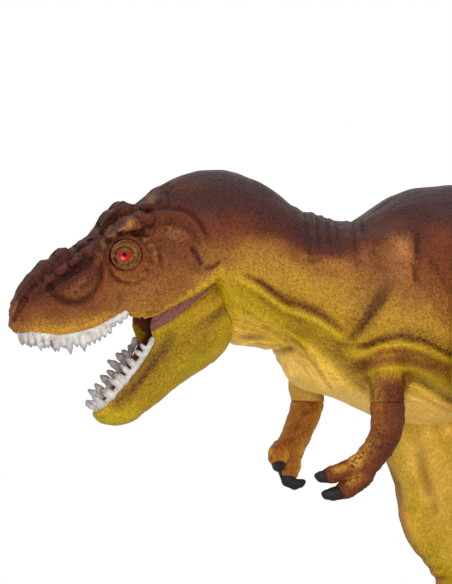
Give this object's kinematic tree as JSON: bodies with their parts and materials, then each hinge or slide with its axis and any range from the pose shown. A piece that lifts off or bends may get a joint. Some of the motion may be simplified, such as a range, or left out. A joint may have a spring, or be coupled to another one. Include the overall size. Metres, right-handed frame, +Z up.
{
  "type": "toy dinosaur figure",
  "caption": "Large hollow vinyl toy dinosaur standing on two legs, with an open hinged jaw, small swivel arms, swinging legs and a turning tail.",
  "frame": {"origin": "on the floor under the middle of the figure's bounding box", "axes": "-X towards the snout, -Y towards the figure's left side, +Z up from the soles"},
  "size_m": [0.5522, 0.1636, 0.294],
  "materials": {
    "skin_vinyl": "satin soft vinyl, dark brown back, rust and ochre flanks, pale yellow belly",
    "jaw_vinyl": "satin soft vinyl, yellow green with dark speckles",
    "limb_vinyl": "satin soft vinyl, rust brown with black mottling and charcoal claws",
    "leg_vinyl": "satin soft vinyl, ochre with a rust front edge",
    "tooth_plastic": "off-white with grey tips",
    "tongue_vinyl": "satin, dark maroon",
    "eye_plastic": "glossy red iris and black pupil",
    "peg_plastic": "natural grey",
    "pin_steel": "plain"
  },
  "bodies": {
    "body": {"body_shell": "skin_vinyl", "upper_teeth": "tooth_plastic", "left_eye": "eye_plastic", "right_eye": "eye_plastic", "left_jaw_pin": "pin_steel", "right_jaw_pin": "pin_steel"},
    "jaw": {"lower_jaw": "jaw_vinyl", "lower_teeth": "tooth_plastic", "tongue": "tongue_vinyl"},
    "left_arm": {"left_arm": "limb_vinyl", "left_arm_peg": "peg_plastic"},
    "right_arm": {"right_arm": "limb_vinyl", "right_arm_peg": "peg_plastic"},
    "left_leg": {"left_leg": "leg_vinyl", "left_leg_peg": "peg_plastic"},
    "right_leg": {"right_leg": "leg_vinyl", "right_leg_peg": "peg_plastic"},
    "tail": {"tail": "skin_vinyl", "tail_peg": "peg_plastic"}
  },
  "joints": [
    {"name": "jaw_hinge", "type": "hinge", "parent": "body", "child": "jaw", "pos_m": [-0.16184, 0, 0.24226], "axis": [0, 1, 0], "range_deg": [0, 24]},
    {"name": "left_arm_swivel", "type": "hinge", "parent": "body", "child": "left_arm", "pos_m": [-0.07532, -0.04472, 0.16699], "axis": [0, 0, 1], "range_deg": [-60, 60]},
    {"name": "right_arm_swivel", "type": "hinge", "parent": "body", "child": "right_arm", "pos_m": [-0.09156, 0.04472, 0.16699], "axis": [0, 0, 1], "range_deg": [-60, 60]},
    {"name": "left_leg_swing", "type": "hinge", "parent": "body", "child": "left_leg", "pos_m": [0.00112, -0.04004, 0.22256], "axis": [0, 1, 0], "range_deg": [-18, 18]},
    {"name": "right_leg_swing", "type": "hinge", "parent": "body", "child": "right_leg", "pos_m": [0.00112, 0.04004, 0.22256], "axis": [0, 1, 0], "range_deg": [-18, 18]},
    {"name": "tail_turn", "type": "hinge", "parent": "body", "child": "tail", "pos_m": [0.06104, 0, 0.22697], "axis": [1, 0, 0], "range_deg": [-90, 90]}
  ]
}
